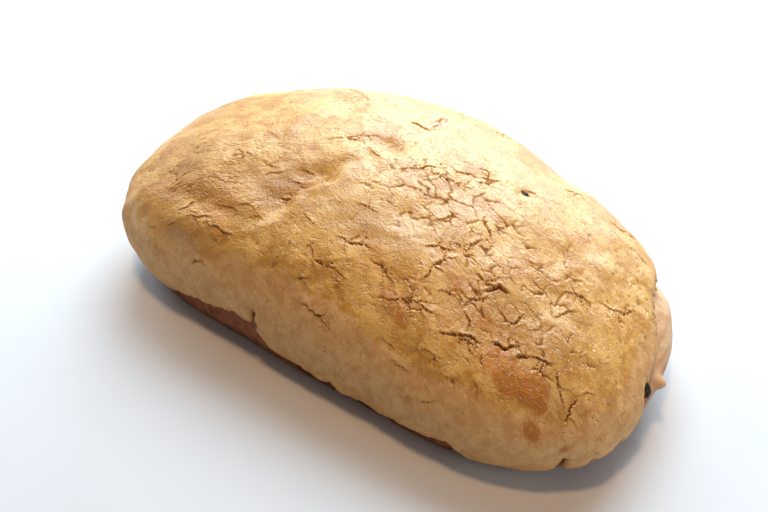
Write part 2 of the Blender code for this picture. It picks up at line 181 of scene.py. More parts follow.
# %% Press the large forms in
FORMS = (
    # along, across, reach along, reach across, turn in degrees, height
    (-13, 4, 9, 5.5, 0, -2.6), (-15, -8, 3, 5, 20, -1.6), (-90, -46, 8, 16, 20, -2.2),
    (-76, -34, 9, 16, 25, 1.6), (-62, -62, 20, 5, -15, -1.3), (-66, -76, 16, 8, -20, 1.2),
    (-117, -60, 7, 7, 0, 1.9), (-108, -36, 9, 12, 0, -1.7), (43, 62, 12, 16, 0, -2.6),
    (86, 22, 7, 5, 30, 1.3), (43, 24, 5, 3.2, 35, -1.0), (20, -50, 30, 14, 20, 0.8),
    (60, 20, 24, 14, 35, 0.9),
)
FOLD_FROM = (-20, -22)
FOLD_TO = (-33, -56)
FOLD_RISE = 6.0
FOLD_RUN = 24
FOLD_STEP = (-2.5, 3.5)
FOLD_STARTS = (-0.35, 0.25)
FOLD_ENDS = (0.85, 1.5)
FOLD_WAVE = 3.5
FOLD_WAVE_SIZE = 9
UNEVEN_HEIGHT = 0.9
UNEVEN_SIZE = 26


def bell(along, across, at_along, at_across, reach_along, reach_across, turn):
    """One at the middle of an oval on the sheet, falling smoothly to nothing outside it."""
    angle = math.radians(turn)
    du, dv = along - at_along, across - at_across
    lengthwise = (du * math.cos(angle) + dv * math.sin(angle)) / reach_along
    sideways = (dv * math.cos(angle) - du * math.sin(angle)) / reach_across
    return np.exp(-(lengthwise**2 + sideways**2))


def waves(along, across, size, salt):
    """Smooth noise over the sheet, from about -1 to 1, with lumps of this size."""
    spots = zip(along / size, across / size)
    return np.array([noise.noise(Vector((a, b, salt))) for a, b in spots])


def form_height(along, across):
    height = np.zeros_like(along)
    for *place, rise in FORMS:
        height += rise * bell(along, across, *place)
    fold = Vector(FOLD_TO) - Vector(FOLD_FROM)
    du, dv = along - FOLD_FROM[0], across - FOLD_FROM[1]
    down_fold = (du * fold.x + dv * fold.y) / fold.length_squared
    left_of_fold = (du * fold.y - dv * fold.x) / fold.length
    left_of_fold += FOLD_WAVE * waves(along, across, FOLD_WAVE_SIZE, 53.1)
    ends = smooth_step(down_fold, *FOLD_STARTS) * (1 - smooth_step(down_fold, *FOLD_ENDS))
    sunk = smooth_step(left_of_fold, *FOLD_STEP) * np.exp(-np.maximum(left_of_fold, 0) / FOLD_RUN)
    height -= FOLD_RISE * ends * sunk
    fade = 1 - smooth_step(share_of(along, across), 0.9, 1.0)
    return height + UNEVEN_HEIGHT * waves(along, across, UNEVEN_SIZE, 3.7) * fade


def drape(along, across, lift):
    """The place on the loaf of points that lie this far over the skin, in millimetres."""
    height = form_height(along, across) + lift
    return skin(along, across) + outward(along, across) * height[..., None]


# %% [markdown]
# The ragged hem
#
# The biscuit sheet stops short of the table, torn and uneven, and at the right end it gapes and
# leaves the bread bare. The hem is a list of heights by bearing, with two sizes of noise for
# teeth. Nothing here needs a cutting tool: later, the mesh of the sheet is simply drawn in until
# its rim lies on this line.

# %% The hem's height, all the way round
HEM = (
    # bearing on the sheet in degrees, height above the table
    (-180, 7), (-160, 5), (-145, 7), (-138, 9), (-133, 7), (-129, 9), (-122, 13), (-117, 15),
    (-109, 20), (-104.5, 19), (-103.6, 28), (-102.6, 29), (-102.2, 17), (-100, 9), (-92, 8),
    (-86, 6), (-84.6, 12), (-83.4, 4), (-75, 6), (-68, 7), (-62, 9), (-58.5, 14), (-56, 9),
    (-53.5, 3), (-36, 3), (-33.8, 6), (-32.8, 22), (-31.6, 21), (-30.6, 8), (-25, 9),
    (-23.8, 19), (-22.6, 8), (-14, 8), (-12.4, 19), (-10.8, 9), (-7, 7), (-3, 18), (0, 33),
    (6, 35), (13, 38), (17, 42), (26, 45), (35, 42), (46, 30), (54, 10), (62, 4), (90, 6),
    (120, 4), (150, 8),
)
HEM_TEETH = 1.6
FINE_TEETH = 0.8
TEETH_PER_DEGREE = (0.55, 1.7)
HEM_LOWEST = 1.8


def by_bearing(table, bearing):
    turns, values = np.transpose(table)
    return np.interp(bearing, turns, values, period=360)


def hem_share(bearing):
    """How far down the loaf the crust's edge lies at each bearing."""
    height = by_bearing(HEM, bearing)
    broad, fine = TEETH_PER_DEGREE
    teeth = np.array([noise.noise(Vector((turn * broad, 0.3, 1.7))) for turn in bearing])
    teeth += [FINE_TEETH * noise.noise(Vector((turn * fine, 4.1, 0.9))) for turn in bearing]
    height = np.maximum(height + HEM_TEETH * teeth, HEM_LOWEST)
    return np.interp(-height, -PROFILE_UP, PROFILE_SHARE)


def hem_line():
    bearing = np.arange(-180, 180, 0.2)
    turn = np.radians(bearing)
    scale = hem_share(bearing) / oval_size(np.cos(turn), np.sin(turn))
    return np.cos(turn) * SHEET_LENGTH * scale, np.sin(turn) * SHEET_WIDTH * scale


class SheetMap:
    """Tells how far places on the sheet are from a set of points, by a search tree."""

    def __init__(self, along, across):
        self.tree = kdtree.KDTree(len(along))
        for index, (a, b) in enumerate(zip(along, across)):
            self.tree.insert((a, b, 0), index)
        self.tree.balance()

    def nearest(self, along, across):
        found = [self.tree.find((a, b, 0)) for a, b in zip(along, across)]
        return np.array([item[2] for item in found]), [item[1] for item in found]


HEM_MAP = SheetMap(*hem_line())


def past_hem(along, across):
    """How far a place lies outside the crust's edge, less than zero under the crust."""
    distance, _ = HEM_MAP.nearest(along, across)
    outside = share_of(along, across) > hem_share(bearing_of(along, across))
    return np.where(outside, distance, -distance)


# %% [markdown]
# Where the cracks run
#
# A biscuit crust cracks where it is stretched most, mostly along the loaf, with short cracks that
# link them. Painting cracks in the material alone would look flat, because the light has to fall
# into them. So each main crack is a wandering line on the sheet, started where the real one is,
# and the mesh will later be fine enough along it to be cut by it. Cracks on the far side, which
# nobody has seen, are strewn by a seeded rule, so that they come out the same every time. All of
# these grow branches by chance. The soft left lobe gets more short cracks and nicks, without any.

# %% Walk each crack over the sheet
CRACKS = (
    # along, across, heading in degrees, length, width
    (-3, -56, 8, 15, 1.5), (-11, -66, -10, 22, 1.3), (15, -57, -13, 13, 1.1),
    (-11, -82, 9, 6, 1.1), (-5, -89, 6, 18, 1.1), (28, -68, 18, 20, 1.3),
    (53, -65, 30, 16, 1.7), (71, -52, 32, 9, 1.9), (81, -50, 45, 7, 1.4), (86, -43, 23, 8, 1.5),
    (96, -39, -45, 13, 1.3), (110, -40, -81, 12, 1.3), (95, 6, 43, 19, 1.3),
    (82, -6, 45, 11, 1.1), (83, -21, 63, 13, 1.1), (72, -41, 58, 9, 1.2),
    (54, -48, 68, 11, 1.2), (57, -37, 34, 11, 2.2), (51, -33, 0, 8, 1.3),
    (35, -54, 88, 22, 1.3), (29, -37, 48, 12, 1.2), (43, -26, 76, 8, 1.2),
    (39, -6, -56, 11, 1.3), (-17, 30, 0, 9, 1.8), (-8, 30, 93, 20, 1.2), (27, 11, 41, 10, 1.3),
    (-1, -8, 49, 20, 1.0), (9, -4, 39, 20, 1.0), (-61, -71, -34, 14, 1.3),
    (-37, -6, 9, 18, 1.0),
)
SMALL_CRACKS = (
    # the same five numbers, for cracks that link the main ones
    (43, -51, 34, 7, 0.9), (35, -83, -9, 6, 0.9), (43, -87, -8, 7, 0.9), (50, -76, 23, 8, 0.8),
    (74, -71, -18, 3, 0.9), (61, -79, 16, 7, 0.7), (60, -93, 27, 7, 0.7),
    (70, -59, -53, 5, 1.0), (109, -37, 67, 8, 0.9), (80, -34, 59, 6, 0.9),
    (100, -26, 90, 4, 0.8), (56, -51, -45, 6, 1.0), (43, 27, 34, 4, 1.0), (37, -28, 18, 6, 0.9),
    (63, -8, 14, 4, 0.8), (-67, -47, 0, 7, 0.9), (-67, -28, 0, 6, 0.8), (-53, -31, -22, 5, 0.8),
    (-59, -61, -8, 7, 0.9), (-19, -3, -40, 8, 1.0), (-5, -36, 7, 8, 0.9),
    (-21, -53, -31, 6, 0.8), (25, -23, 53, 10, 0.9),
)
LOBE_CRACKS = (
    # the same five numbers, for the soft left lobe
    (-75, -66, 22, 6, 0.9), (-50, -58, 12, 5, 0.9), (-36, -47, 0, 5, 1.6),
    (-70, -69, -14, 10, 1.1), (-89, -79, -70, 6, 0.9), (-68, -89, 0, 7, 1.0),
    (-68, -5, 11, 5, 0.8), (-37, -36, 11, 5, 0.9), (-50, -38, 27, 7, 0.9),
    (-88, -52, 60, 5, 0.8),
)
LOBE_NICKS = 14
NICK_ALONG, NICK_ACROSS = (-98, -32), (-78, -10)
NICK_HEADING, NICK_HEADING_SPREAD = 5, 25
NICK_LENGTH, NICK_WIDTH = (2.5, 5), 0.75
FAR_SIDE_CRACKS = 16
FAR_SIDE_ALONG, FAR_SIDE_ACROSS = (-110, 80), (45, 90)
FAR_SIDE_HEADING_SPREAD = 22
FAR_SIDE_LENGTH, FAR_SIDE_WIDTH = (8, 18), (1.0, 1.4)
BRANCH_EVERY = 5.5
BRANCH_TURN, BRANCH_LENGTH, BRANCH_WIDTH = (40, 95), (3, 8), 0.55
CRACK_STEP = 1.0
CRACK_WANDER = 15
DRIFT_KEPT = 0.6
CRACK_TAPER = 0.4
SEED = 7


def crack_path(along, across, heading, length, width, rng):
    steps = max(4, round(length / CRACK_STEP))
    path, drift = [], 0.0
    for step in range(steps + 1):
        taper = math.sin(math.pi * (step + 0.5) / (steps + 1)) ** CRACK_TAPER
        path.append((along, across, width * taper, heading + drift))
        drift = DRIFT_KEPT * drift + rng.gauss(0, CRACK_WANDER)
        turn = math.radians(heading + drift)
        along += CRACK_STEP * math.cos(turn)
        across += CRACK_STEP * math.sin(turn)
    return path


def all_crack_points():
    rng = random.Random(SEED)
    paths = [crack_path(*crack, rng) for crack in CRACKS]
    for _ in range(FAR_SIDE_CRACKS):
        along = rng.uniform(*FAR_SIDE_ALONG)
        across = rng.uniform(*FAR_SIDE_ACROSS)
        heading = rng.gauss(0, FAR_SIDE_HEADING_SPREAD)
        length, width = rng.uniform(*FAR_SIDE_LENGTH), rng.uniform(*FAR_SIDE_WIDTH)
        paths.append(crack_path(along, across, heading, length, width, rng))
    paths += [crack_path(*crack, rng) for crack in SMALL_CRACKS]
    branches = []
    for path in paths:
        for along, across, width, heading in path[2:-2]:
            if rng.random() < CRACK_STEP / BRANCH_EVERY:
                turned = heading + rng.choice((-1, 1)) * rng.uniform(*BRANCH_TURN)
                length = rng.uniform(*BRANCH_LENGTH)
                branches.append(crack_path(along, across, turned, length, BRANCH_WIDTH * width, rng))
    rng = random.Random(SEED + 1)
    branches += [crack_path(*crack, rng) for crack in LOBE_CRACKS]
    for _ in range(LOBE_NICKS):
        along, across = rng.uniform(*NICK_ALONG), rng.uniform(*NICK_ACROSS)
        heading = rng.gauss(NICK_HEADING, NICK_HEADING_SPREAD)
        length = rng.uniform(*NICK_LENGTH)
        branches.append(crack_path(along, across, heading, length, NICK_WIDTH, rng))
    print(len(paths), "cracks with", len(branches), "branches")
    return [point for path in paths + branches for point in path]


CRACK_ALONG, CRACK_ACROSS, CRACK_WIDTH, CRACK_HEADING = np.transpose(all_crack_points())
CRACK_MAP = SheetMap(CRACK_ALONG, CRACK_ACROSS)

# %% [markdown]
# The fine crackle
#
# Between the main cracks the thin top of the biscuit breaks into flakes about a centimetre long,
# most of all on the crown right of the middle. Flakes are cells: strew points over the sheet, and
# give each place to its nearest point. Where the nearest and the second nearest are equally far,
# two flakes meet. The points are set a little closer across the loaf than along it, because real
# flakes are longer than they are wide.

# %% Strew the flakes
FLAKE_LENGTH = 12.0
FLAKE_WIDTH = 8.0
FLAKE_BENDS = (
    # size of the waves, how far they bend the flakes, salt along, salt across
    (7, 4.0, 27.7, 29.2),
    (1.6, 0.7, 61.3, 64.8),
)
LEVEL_SHARE = 0.6
CRACKLE_FLOOR = 0.16
CRACKLE_ZONES = (
    # along, across, reach along, reach across, turn in degrees, strength
    (24, -6, 34, 26, 20, 0.85),
    (74, -26, 36, 34, 20, 0.75),
    (30, -62, 26, 14, 15, 0.45),
    (-20, 12, 26, 20, 0, 0.35),
    (-66, -42, 44, 34, 10, 0.34),
)


def strew_flakes():
    rng = random.Random(SEED + 1)
    along, across = [], []
    rows = int(2 * SHEET_WIDTH / FLAKE_WIDTH)
    columns = int(2 * SHEET_LENGTH / FLAKE_LENGTH)
    for row in range(rows + 1):
        for column in range(columns + 1):
            along.append(-SHEET_LENGTH + (column + rng.uniform(-0.5, 0.5)) * FLAKE_LENGTH)
            across.append(-SHEET_WIDTH + (row + rng.uniform(-0.5, 0.5)) * FLAKE_WIDTH)
    return np.array(along), np.array(across)


FLAKE_STRETCH = FLAKE_LENGTH / FLAKE_WIDTH
FLAKE_ALONG, FLAKE_ACROSS = strew_flakes()
FLAKE_MAP = SheetMap(FLAKE_ALONG, FLAKE_ACROSS * FLAKE_STRETCH)
FLAKE_TILT = np.random.default_rng(SEED).uniform(-1, 1, (3, len(FLAKE_ALONG)))
print(len(FLAKE_ALONG), "flakes")


def strongest(along, across, patches, least=0.0):
    """How strongly the strongest of these patches shows at each place."""
    most = np.full_like(along, least)
    for *place, strength in patches:
        most = np.maximum(most, strength * bell(along, across, *place))
    return most


def crackle_strength(along, across):
    strength = strongest(along, across, CRACKLE_ZONES, CRACKLE_FLOOR)
    return strength * (1 - smooth_step(share_of(along, across), 0.68, 0.78))


def flake_gap(along, across):
    """How far each place is from the edge of its flake, and how high that flake's tilt puts it."""
    bend_along, bend_across = (
        sum(amount * waves(along, across, size, salts[axis]) for size, amount, *salts in FLAKE_BENDS)
        for axis in (0, 1)
    )
    along, across = along + bend_along, across + bend_across
    finds = [FLAKE_MAP.tree.find_n((a, b * FLAKE_STRETCH, 0), 2) for a, b in zip(along, across)]
    gap = np.array([(two[1][2] - two[0][2]) / 2 for two in finds])
    index = [two[0][1] for two in finds]
    level, slope_along, slope_across = FLAKE_TILT[:, index]
    tilt = slope_along * (along - FLAKE_ALONG[index]) / FLAKE_LENGTH
    tilt += slope_across * (across - FLAKE_ACROSS[index]) / FLAKE_WIDTH
    return gap, LEVEL_SHARE * level + tilt


# %% [markdown]
# The relief of the crust
#
# This function gathers everything that stands up from or sinks into the crust, in millimetres over
# the smooth skin. Each main crack is a steep groove with one lip lifted, as the crust tears and
# one side rides up. The grooves are looked up a little way off, by noise, which makes their edges
# ragged. Then come the flakes, each at its own level, soft lumps of three sizes, some finer lumps
# on the left lobe, and one small torn spot.

# %% Cracks, lips, flakes and lumps in one height
CRUST = 3.2
HEM_THICKNESS = 1.9
HEM_ROUNDING = 3.0
DEEPEST = -2.75
GROOVE_BOTTOM, GROOVE_TOP = 0.12, 0.62
GROOVE_LEAST, GROOVE_PER_WIDTH, GROOVE_MOST = 0.7, 1.2, 2.5
RAGGED = ((5.0, 1.1), (1.3, 0.5))  # size of the waves, how far they shift
OPEN_SHARE = 0.8
LIP_HEIGHT = 0.24
LIP_AT, LIP_REACH = 0.85, 0.55
TILT_HEIGHT = 0.15
TILT_REACH = 3.5
FLAKE_DEPTH = 0.7
FLAKE_STEP = 0.26
SEAM_BOTTOM, SEAM_TOP = 0.08, 0.42
LUMPS = ((14, 0.9, 1.3), (6.5, 0.3, 5.9), (2.8, 0.08, 8.3))  # size, height, salt
TEAR = (-9, 42, 3.0, 9.5, -4)  # along, across, reach along, reach across, turn
TEAR_DEPTH = 0.8
FLAKY = (-72, -32, 46, 46, 0)
FLAKY_LUMP, FLAKY_LUMP_SIZE = 0.28, 4.5


def near_crack(along, across):
    """Distance to the nearest crack, its width there, and which side of it this is."""
    ragged_along, ragged_across = along.copy(), across.copy()
    for size, amount in RAGGED:
        ragged_along += amount * waves(along, across, size, 11.1)
        ragged_across += amount * waves(along, across, size, 17.4)
    distance, index = CRACK_MAP.nearest(ragged_along, ragged_across)
    heading = np.radians(CRACK_HEADING[index])
    du, dv = ragged_along - CRACK_ALONG[index], ragged_across - CRACK_ACROSS[index]
    side = np.clip((dv * np.cos(heading) - du * np.sin(heading)) / 0.6, -1, 1)
    return distance, CRACK_WIDTH[index] * OPEN_SHARE, side


def crust_relief(along, across):
    """The crust's height over the skin, and the masks and distances that its colours will use."""
    distance, width, side = near_crack(along, across)
    groove = 1 - smooth_step(distance, GROOVE_BOTTOM * width, GROOVE_TOP * width)
    depth = np.minimum(GROOVE_MOST, GROOVE_LEAST + GROOVE_PER_WIDTH * width)
    lip = np.exp(-(((distance - LIP_AT * width) / LIP_REACH) ** 2)) * (0.45 + 0.55 * side)
    lip *= np.minimum(width, 1.5) / 1.5
    tilt = side * np.exp(-distance / TILT_REACH) * smooth_step(distance, 0, 1.2 * width)
    gap, level = flake_gap(along, across)
    strength = crackle_strength(along, across)
    opened = smooth_step(1.2 * waves(along, across, 6, 23.5) + 1.1 * strength, 0.3, 0.75)
    seam = opened * (1 - smooth_step(gap, SEAM_BOTTOM, SEAM_TOP))
    lift = -depth * groove + LIP_HEIGHT * lip + TILT_HEIGHT * tilt
    lift += -FLAKE_DEPTH * seam + FLAKE_STEP * level * strength * smooth_step(gap, 0, 0.9)
    for size, height, salt in LUMPS:
        lift += height * waves(along, across, size, salt)
    flaky = bell(along, across, *FLAKY)
    lift += FLAKY_LUMP * flaky * waves(along, across, FLAKY_LUMP_SIZE, 71.5)
    torn = smooth_step(bell(along, across, *TEAR), 0.3, 0.55)
    lift -= TEAR_DEPTH * torn
    edge = past_hem(along, across)
    lift = np.maximum(lift, DEEPEST)
    calm = 1 - 0.6 * smooth_step(edge, -2.5, 0)
    rounded = -(CRUST - HEM_THICKNESS) * smooth_step(edge, -HEM_ROUNDING, 0)
    masks = {"lip": np.clip(lip, 0, 1), "torn": torn, "crackle": strength, "flaky": flaky}
    # The distances to cracks and to flake seams, for the painted shade inside them.
    masks["gap"] = np.minimum(distance - 0.3 * width, 3)
    masks["seam_gap"] = np.minimum(gap - 0.12, 2) + 1.2 * (1 - opened)
    return lift * calm + rounded, masks


# %% [markdown]
# A mesh that is fine only where it must be
#
# A crack one millimetre wide needs triangles of half a millimetre. The whole loaf in triangles
# that small would be over half a million of them. So we begin with a coarse oval, and halve every
# edge that is longer than wanted at its place, again and again. What is wanted depends on how near
# the cracks and the crackle are.

# %% Grow an oval mesh and refine it by place
SQUEEZE_FROM = 0.42
LONGEST_EDGE = 1.4


def lay_out(oval, hem=None):
    """Carries points of a unit oval to the sheet, drawn in so that its rim becomes the hem."""
    share = oval_size(oval[:, 0], oval[:, 1])
    drawn = share
    if hem is not None:
        edge = hem(np.degrees(np.arctan2(oval[:, 1], oval[:, 0])))
        part = np.maximum(share - SQUEEZE_FROM, 0) / (1 - SQUEEZE_FROM)
        drawn = np.minimum(share, SQUEEZE_FROM) + part * (edge - SQUEEZE_FROM)
    scale = drawn / np.maximum(share, 1e-9)
    return oval[:, 0] * scale * SHEET_LENGTH, oval[:, 1] * scale * SHEET_WIDTH


def oval_mesh(cells):
    """A unit oval of triangles, this many rows of cells from its middle to its rim."""
    bm = bmesh.new()
    ticks = np.linspace(-1, 1, 2 * cells + 1)
    grid = []
    for across in ticks:
        row = []
        for along in ticks:
            scale = max(abs(along), abs(across)) / max(oval_size(along, across), 1e-9)
            row.append(bm.verts.new((along * scale, across * scale, 0)))
        grid.append(row)
    for j in range(2 * cells):
        for i in range(2 * cells):
            a, b, c, d = grid[j][i], grid[j][i + 1], grid[j + 1][i + 1], grid[j + 1][i]
            if (i < cells) == (j < cells):
                bm.faces.new((a, b, c))
                bm.faces.new((a, c, d))
            else:
                bm.faces.new((a, b, d))
                bm.faces.new((b, c, d))
    return bm


def refine(bm, hem, wanted, only_rim=False, rounds=9):
    for _ in range(rounds):
        bm.verts.index_update()
        oval = np.array([vert.co[:2] for vert in bm.verts])
        along, across = lay_out(oval, hem)
        places = skin(along, across)
        pairs = np.array([[vert.index for vert in edge.verts] for edge in bm.edges])
        rim = np.array([edge.is_boundary for edge in bm.edges])
        lengths = np.linalg.norm(places[pairs[:, 0]] - places[pairs[:, 1]], axis=1)
        limits = wanted(along[pairs].mean(axis=1), across[pairs].mean(axis=1))
        split = (lengths > LONGEST_EDGE * limits) & (rim == only_rim)
        if not split.any():
            return
        chosen = [edge for edge, flag in zip(bm.edges, split) if flag]
        bmesh.ops.subdivide_edges(bm, edges=chosen, cuts=1)
        bmesh.ops.triangulate(bm, faces=[face for face in bm.faces if len(face.verts) > 3])
        if only_rim:
            for vert in bm.verts:
                if vert.is_boundary:
                    vert.co /= oval_size(vert.co.x, vert.co.y)


def faces_of(bm):
    bm.verts.index_update()
    return [[vert.index for vert in face.verts] for face in bm.faces]


def sheet_faces(bm):
    """The places on the unit oval, the faces, and the pairs of points along the rim."""
    faces = faces_of(bm)
    oval = np.array([vert.co[:2] for vert in bm.verts])
    rim = [
        (loop.vert.index, loop.link_loop_next.vert.index)
        for face in bm.faces
        for loop in face.loops
        if loop.edge.is_boundary
    ]
    return oval, faces, rim


# %% [markdown]
# The loaf stands in the middle of the frame
#
# The plain model was moved so that the middle of its base is the origin. We find that move by
# comparing its crust with ours, and make meshes in metres, as Blender counts.

# %% Find the move to the middle, and make objects
MM = 0.001


def find_centre():
    turn = np.linspace(-math.pi, math.pi, 1441)
    scale = 1 / oval_size(np.cos(turn), np.sin(turn))
    places = []
    for share in np.linspace(0.6, 0.95, 36):
        along = np.cos(turn) * SHEET_LENGTH * scale * share
        across = np.sin(turn) * SHEET_WIDTH * scale * share
        covered = past_hem(along, across) < -HEM_ROUNDING
        places.append(drape(along, across, np.zeros_like(along))[covered])
    places = np.concatenate(places)[:, :2]
    middle = (places.min(axis=0) + places.max(axis=0)) / 2
    wanted = np.array([crust_low.x + crust_high.x, crust_low.y + crust_high.y]) / 2 / MM
    return np.array([*(wanted - middle), 0])


TO_CENTRE = find_centre()
print("move to the middle, mm:", TO_CENTRE.round(2))


def put_in_scene(name, data):
    item = bpy.data.objects.new(name, data)
    bpy.context.scene.collection.objects.link(item)
    return item


def make_object(name, places, faces, masks=None):
    """A smooth mesh object from places in millimetres, with a value per point for each mask."""
    mesh = bpy.data.meshes.new(name)
    mesh.from_pydata([tuple(place) for place in (places + TO_CENTRE) * MM], [], faces)
    mesh.shade_smooth()
    for mask, values in (masks or {}).items():
        kind = "FLOAT_VECTOR" if np.ndim(values) == 2 else "FLOAT"
        layer = mesh.attributes.new(mask, kind, "POINT")
        layer.data.foreach_set("vector" if kind == "FLOAT_VECTOR" else "value", np.ravel(values))
    print(name, len(mesh.polygons), "faces")
    return put_in_scene(name, mesh)


# %% [markdown]
# Where the egg wash lies
#
# The baker brushed the top with egg before baking. It turned the biscuit gold and a little glossy,
# and where it pooled or ran down it baked to a deep orange brown. Some washed patches are browner:
# partly they baked darker, and partly this is painted shade, in the valley left of the fold and on
# the slope in front of the crown. Below the brush's reach the biscuit stayed sandy and pale. These
# are three more masks on the sheet, and the material will break up their edges with fine noise.

# %% Brush on the egg wash
WASH_EDGE = (
    # bearing on the sheet in degrees, how far down the wash reaches there, as a share
    (-180, 0.66), (-133, 0.78), (-121, 0.74), (-110, 0.69), (-98, 0.64), (-85, 0.63),
    (-76, 0.66), (-68, 0.68), (-50, 0.69), (-41, 0.71), (-30, 0.74), (-15, 0.72), (0, 0.68),
    (60, 0.66), (120, 0.72),
)
POOLS = (
    # the same six numbers as for the crackle
    (37, -70, 7, 8, 0, 0.75), (47, -74, 6, 6, 0, 0.45), (15, -51, 7, 4, 10, 0.4),
    (31, -66, 10, 7, 20, 0.75), (35, -40, 8, 4, 20, 0.55), (48, -41, 8, 6, 30, 0.7),
    (62, -48, 9, 5, 35, 0.75), (76, -56, 8, 6, 40, 1.4), (85, -58, 9, 6, 30, 1.6),
    (93, -54, 8, 8, 20, 1.3), (98, -54, 4, 8, 20, 1.2), (103, -66, 3.5, 3.5, 0, 2.0),
    (116, -40, 4, 9, 10, 0.6), (121, -59, 3.5, 3.5, 0, 0.9), (71, -13, 8, 5, 30, 0.35),
    (-79, -74, 8, 6, -20, 0.45), (-21, -70, 7, 5, 0, 0.4), (-8, -73, 7, 4, 0, 0.4),
    (55, -95, 6, 5, 0, 0.45), (-96, -40, 6, 9, 20, 0.3), (-50, -18, 12, 7, 10, 0.25),
    (-60, 40, 12, 8, 10, 0.25), (20, 60, 14, 8, 10, 0.2), (70, 45, 9, 9, 10, 0.25),
    (-97, -52, 6, 5, 20, 0.55), (-105, -44, 4, 6, 20, 0.5),
)
BAKED_AND_SHADE = (
    # and again, for the darker patches: partly baked darker, partly painted shade
    (-78, -48, 34, 26, 10, 0.45), (-87, -42, 5, 9, 30, 1.0), (-86, -57, 6, 6, 0, 1.1),
    (-40, -42, 9, 19, -20, 1.3), (-72, -76, 14, 8, -10, 0.9), (4, -43, 26, 13, 10, 0.8),
    (76, -44, 40, 20, 25, 0.9),
)
WASH_RAGGED, WASH_WAVE_SIZE = 0.03, 12
WASH_FADE = 0.05


def wash_masks(along, across):
    edge = by_bearing(WASH_EDGE, bearing_of(along, across))
    edge += WASH_RAGGED * waves(along, across, WASH_WAVE_SIZE, 31.0)
    wash = 1 - smooth_step(share_of(along, across), edge - WASH_FADE, edge + WASH_FADE)
    pools, baked_and_shade = strongest(along, across, POOLS), strongest(along, across, BAKED_AND_SHADE)
    return {"wash": wash, "pool": pools, "baked_and_shade": baked_and_shade}


# %% [markdown]
# Cut out the biscuit crust
#
# The crust is made as the real one is: a top and an under side, both laid over the loaf, and
# joined round the ragged hem. A middle row of points at the hem bulges out a little, so that the
# torn edge looks thick and rounded, not sawn off.

# %% Make the crust
CRACK_EDGE = 0.46
CRACKLE_EDGE = 0.57
PLAIN_EDGE = 1.5
NEAR_HEM_EDGE = 0.9
FAR_HEM_EDGE = 2.0
UNDER_HEM_EDGE, UNDER_EDGE = 2.0, 6.0
EDGE_GROWTH = 0.5
HEM_BULGE = 0.45


def wanted_top(along, across):
    distance, index = CRACK_MAP.nearest(along, across)
    near = CRACK_EDGE + EDGE_GROWTH * (distance - 0.5 * CRACK_WIDTH[index] - 0.8)
    near = np.maximum(CRACK_EDGE, near)
    zone = smooth_step(crackle_strength(along, across), 0.15, 0.4)
    gap, _ = flake_gap(along, across)
    seams = CRACKLE_EDGE + EDGE_GROWTH * np.maximum(gap - 0.6, 0)
    body = PLAIN_EDGE + (np.minimum(seams, PLAIN_EDGE) - PLAIN_EDGE) * zone
    return np.minimum(near, body)


def wanted_under(along, across):
    wanted = UNDER_HEM_EDGE - EDGE_GROWTH * past_hem(along, across)
    return np.clip(wanted, UNDER_HEM_EDGE, UNDER_EDGE)


def wanted_rim(along, across):
    return np.where(bearing_of(along, across) > 60, FAR_HEM_EDGE, NEAR_HEM_EDGE)


def corner_key(point):
    return tuple(np.round(point, 6))


def make_crust():
    top = oval_mesh(24)
    refine(top, hem_share, wanted_rim, only_rim=True)
    under = top.copy()
    refine(top, hem_share, wanted_top)
    refine(under, hem_share, wanted_under)
    top_oval, top_faces, rim = sheet_faces(top)
    under_oval, under_faces, _ = sheet_faces(under)
    along, across = lay_out(top_oval, hem_share)
    lift, masks = crust_relief(along, across)
    masks.update(wash_masks(along, across))
    under_along, under_across = lay_out(under_oval, hem_share)
    under_count, count = len(under_oval), len(top_oval)
    starts = [first for first, _ in rim]
    rim_reach = np.hypot(along[starts], across[starts])
    rim_along = along[starts] * (1 + HEM_BULGE / rim_reach)
    rim_across = across[starts] * (1 + HEM_BULGE / rim_reach)
    middle_lift = (lift[starts] - CRUST) / 2
    places = np.concatenate([
        drape(along, across, lift),
        drape(under_along, under_across, np.full_like(under_along, -CRUST)),
        drape(rim_along, rim_across, middle_lift),
    ])
    partner = {corner_key(point): index + count for index, point in enumerate(under_oval)}
    middle = {first: count + under_count + order for order, first in enumerate(starts)}
    faces = top_faces + [[index + count for index in reversed(face)] for face in under_faces]
    for first, second in rim:
        below_first, below_second = (partner[corner_key(top_oval[end])] for end in (first, second))
        faces += [(second, first, middle[first], middle[second])]
        faces += [(middle[second], middle[first], below_first, below_second)]
    sheet_along = np.concatenate([along, under_along, rim_along])
    sheet_across = np.concatenate([across, under_across, rim_across])
    for name, values in masks.items():
        masks[name] = np.concatenate([values, np.zeros(under_count), values[starts]])
    masks["sheet"] = np.stack([sheet_along, sheet_across, np.zeros_like(sheet_along)], axis=-1)
    return make_object("crust_sheet", places, faces, masks)


crust = make_crust()

# %% [markdown]
# The bread under the crust
#
# The loaf itself shows in two places. Under the hem it is a red-brown strip, baked against the
# tray. At the right end the crust pulled away, and a smooth pinkish lobe bulges out, streaked from
# top to foot, with a small nub where two folds of dough meet. The bread is the same sheet without
# a hem, pushed out wherever nothing covers it. The covered part stays coarse, since no one sees it.

# %% Make the bread
GAP = 0.75
SIDE_BULGE = 2.7
END_BULGE = 4.2
END_FROM, END_TO = -2, 50
END_FADE = 13
END_TUCK_SHARE = 0.8
BULGE_START, BULGE_RUN = 2.4, 8
END_RUN = 5
NUB = (142, 17)
NUB_REACH = 3.4
NUB_HEIGHT = 2.9
STREAK_TURN = 14
STREAK_RUN = 0.02
STREAK_HEIGHT = 0.32
PUCKER_HEIGHT = 0.35
BREAD_EDGE, COVERED_EDGE = 1.3, 9


